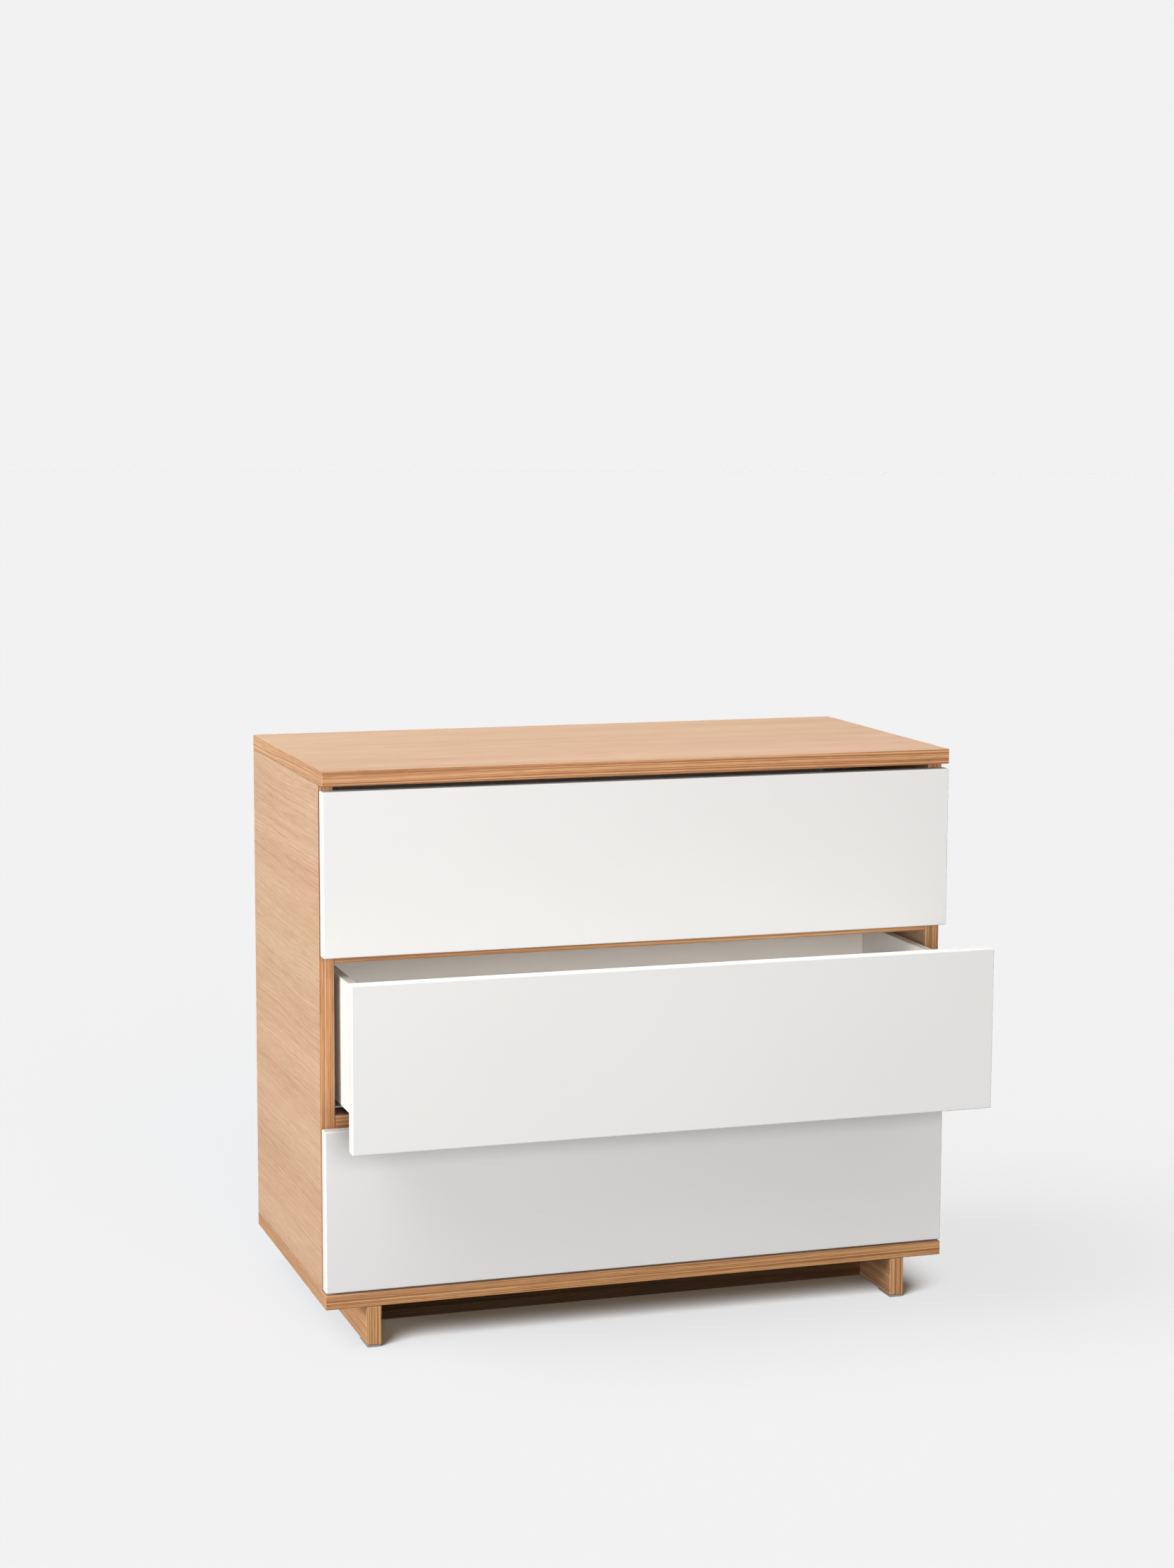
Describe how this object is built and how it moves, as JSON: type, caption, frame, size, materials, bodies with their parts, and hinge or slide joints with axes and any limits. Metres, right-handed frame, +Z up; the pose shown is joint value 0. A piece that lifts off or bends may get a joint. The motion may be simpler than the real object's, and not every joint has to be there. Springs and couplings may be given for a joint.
{
  "type": "chest of drawers",
  "caption": "Low oak-veneered chest of drawers with white overlay drawer fronts without handles, drawers on concealed runners, on front-to-back runner feet with a set-back plinth.",
  "frame": {"origin": "on the floor, under the middle of the object's box as it stands at rest, with the middle drawer 157.3 mm open", "axes": "+X to the chest's right along its width, -Y the way the drawers open, +Z up"},
  "size_m": [0.9, 0.6014, 0.787],
  "materials": {
    "oak_veneer": "natural oak veneer under a matt clear lacquer",
    "white_lacquer": "satin white lacquer on fibreboard",
    "white_foil": "smooth white foil on particle board",
    "zinc_plated_steel": "zinc-plated rolled steel",
    "glide_plastic": "matt grey plastic",
    "clip_plastic": "grey moulded plastic"
  },
  "bodies": {
    "case": {"top_panel": "oak_veneer", "bottom_panel": "oak_veneer", "side_panel_left": "oak_veneer", "side_panel_right": "oak_veneer", "back_panel": "oak_veneer", "divider_lower": "oak_veneer", "divider_upper": "oak_veneer", "foot_left": "oak_veneer", "foot_right": "oak_veneer", "plinth_rail_front": "oak_veneer", "plinth_rail_rear": "oak_veneer", "glide_front_left": "glide_plastic", "glide_front_right": "glide_plastic", "glide_rear_left": "glide_plastic", "glide_rear_right": "glide_plastic", "runner_bottom_left_case_member": "zinc_plated_steel", "runner_bottom_right_case_member": "zinc_plated_steel", "runner_middle_left_case_member": "zinc_plated_steel", "runner_middle_right_case_member": "zinc_plated_steel", "runner_top_left_case_member": "zinc_plated_steel", "runner_top_right_case_member": "zinc_plated_steel"},
    "bottom_drawer": {"drawer_bottom_front": "white_lacquer", "drawer_bottom_side_left": "white_foil", "drawer_bottom_side_right": "white_foil", "drawer_bottom_back": "white_foil", "drawer_bottom_base": "white_foil", "drawer_bottom_clip_left": "clip_plastic", "drawer_bottom_clip_right": "clip_plastic", "runner_bottom_left_drawer_member": "zinc_plated_steel", "runner_bottom_right_drawer_member": "zinc_plated_steel"},
    "middle_drawer": {"drawer_middle_front": "white_lacquer", "drawer_middle_side_left": "white_foil", "drawer_middle_side_right": "white_foil", "drawer_middle_back": "white_foil", "drawer_middle_base": "white_foil", "drawer_middle_clip_left": "clip_plastic", "drawer_middle_clip_right": "clip_plastic", "runner_middle_left_drawer_member": "zinc_plated_steel", "runner_middle_right_drawer_member": "zinc_plated_steel"},
    "top_drawer": {"drawer_top_front": "white_lacquer", "drawer_top_side_left": "white_foil", "drawer_top_side_right": "white_foil", "drawer_top_back": "white_foil", "drawer_top_base": "white_foil", "drawer_top_clip_left": "clip_plastic", "drawer_top_clip_right": "clip_plastic", "runner_top_left_drawer_member": "zinc_plated_steel", "runner_top_right_drawer_member": "zinc_plated_steel"},
    "bottom_slides": {"runner_bottom_left_middle_member": "zinc_plated_steel", "runner_bottom_right_middle_member": "zinc_plated_steel"},
    "middle_slides": {"runner_middle_left_middle_member": "zinc_plated_steel", "runner_middle_right_middle_member": "zinc_plated_steel"},
    "top_slides": {"runner_top_left_middle_member": "zinc_plated_steel", "runner_top_right_middle_member": "zinc_plated_steel"}
  },
  "joints": [
    {"name": "bottom_drawer_travel", "type": "slide", "parent": "case", "child": "bottom_drawer", "axis": [0, -1, 0], "range_m": [-0.0035, 0.34]},
    {"name": "middle_drawer_travel", "type": "slide", "parent": "case", "child": "middle_drawer", "axis": [0, -1, 0], "range_m": [-0.1608, 0.1827]},
    {"name": "top_drawer_travel", "type": "slide", "parent": "case", "child": "top_drawer", "axis": [0, -1, 0], "range_m": [-0.0035, 0.34]},
    {"name": "bottom_slides_travel", "type": "slide", "parent": "case", "child": "bottom_slides", "axis": [0, -1, 0], "range_m": [-0.00175, 0.17]},
    {"name": "middle_slides_travel", "type": "slide", "parent": "case", "child": "middle_slides", "axis": [0, -1, 0], "range_m": [-0.0804, 0.09135]},
    {"name": "top_slides_travel", "type": "slide", "parent": "case", "child": "top_slides", "axis": [0, -1, 0], "range_m": [-0.00175, 0.17]}
  ],
  "couplings": [
    {"joint": "bottom_slides_travel", "follows": "bottom_drawer_travel", "ratio": 0.5},
    {"joint": "middle_slides_travel", "follows": "middle_drawer_travel", "ratio": 0.5},
    {"joint": "top_slides_travel", "follows": "top_drawer_travel", "ratio": 0.5}
  ]
}
